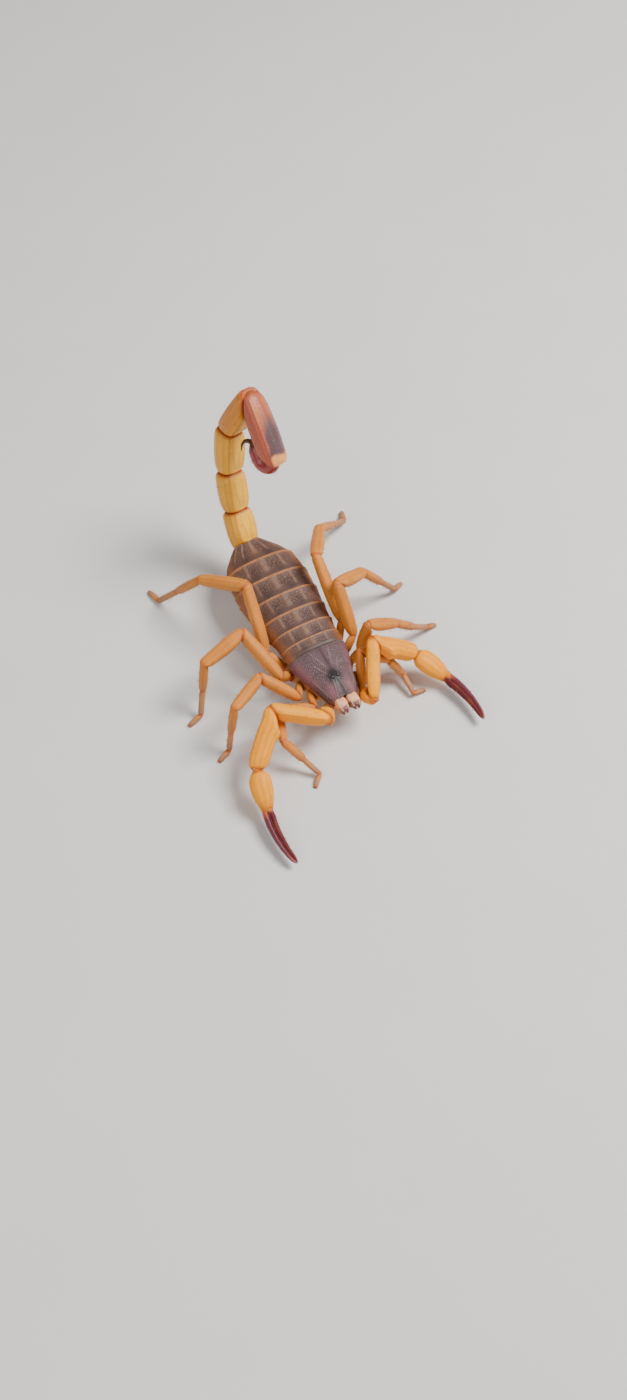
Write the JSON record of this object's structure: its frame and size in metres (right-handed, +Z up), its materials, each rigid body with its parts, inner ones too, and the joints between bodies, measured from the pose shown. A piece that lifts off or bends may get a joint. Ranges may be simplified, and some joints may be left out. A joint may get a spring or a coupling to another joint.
{
  "type": "scorpion model",
  "caption": "Life-size still model of an adult female scorpion, standing with its tail arched over its back and its slender pincers held forward.",
  "frame": {"origin": "on the floor, under the middle of the box round the animal", "axes": "+Z up, -Y the way the head looks, +X the animal's left side"},
  "size_m": [0.0394, 0.056, 0.0314],
  "materials": {
    "shell_dark": "waxy cuticle, dark grey-purple with pale granules",
    "shell_trunk": "waxy cuticle, brown plates with paler rear edges",
    "shell_pale": "waxy cuticle, pale orange-brown",
    "limb": "smooth waxy cuticle, tan orange",
    "arm": "smooth waxy cuticle, orange-yellow",
    "finger": "smooth cuticle, dark maroon",
    "tail": "keeled cuticle, yellow-orange",
    "tail_end": "keeled cuticle, reddish brown and grey",
    "bulb": "smooth shiny cuticle, dark red",
    "sting": "polished black horn",
    "jaw": "smooth cream cuticle",
    "comb": "soft pale cuticle",
    "eye": "wet black"
  },
  "bodies": {
    "root": {"aculeus": "sting", "carapace": "shell_dark", "chelicera_left": "jaw", "chelicera_right": "jaw", "coxosternum": "shell_pale", "leg_left_1_femur": "limb", "leg_left_1_patella": "limb", "leg_left_1_shank": "limb", "leg_left_2_femur": "limb", "leg_left_2_patella": "limb", "leg_left_2_shank": "limb", "leg_left_3_femur": "limb", "leg_left_3_patella": "limb", "leg_left_3_shank": "limb", "leg_left_4_femur": "limb", "leg_left_4_patella": "limb", "leg_left_4_shank": "limb", "leg_right_1_femur": "limb", "leg_right_1_patella": "limb", "leg_right_1_shank": "limb", "leg_right_2_femur": "limb", "leg_right_2_patella": "limb", "leg_right_2_shank": "limb", "leg_right_3_femur": "limb", "leg_right_3_patella": "limb", "leg_right_3_shank": "limb", "leg_right_4_femur": "limb", "leg_right_4_patella": "limb", "leg_right_4_shank": "limb", "median_eye_left": "eye", "median_eye_right": "eye", "mesosoma_1": "shell_trunk", "mesosoma_2": "shell_trunk", "mesosoma_3": "shell_trunk", "mesosoma_4": "shell_trunk", "mesosoma_5": "shell_trunk", "mesosoma_6": "shell_trunk", "mesosoma_7": "shell_trunk", "metasoma_1": "tail", "metasoma_2": "tail", "metasoma_3": "tail", "metasoma_4": "tail", "metasoma_5": "tail_end", "pectine_left": "comb", "pectine_right": "comb", "pedipalp_left_femur": "arm", "pedipalp_left_free_finger": "finger", "pedipalp_left_hand": "arm", "pedipalp_left_patella": "arm", "pedipalp_left_trochanter": "arm", "pedipalp_right_femur": "arm", "pedipalp_right_free_finger": "finger", "pedipalp_right_hand": "arm", "pedipalp_right_patella": "arm", "pedipalp_right_trochanter": "arm", "telson": "bulb"}
  },
  "joints": []
}
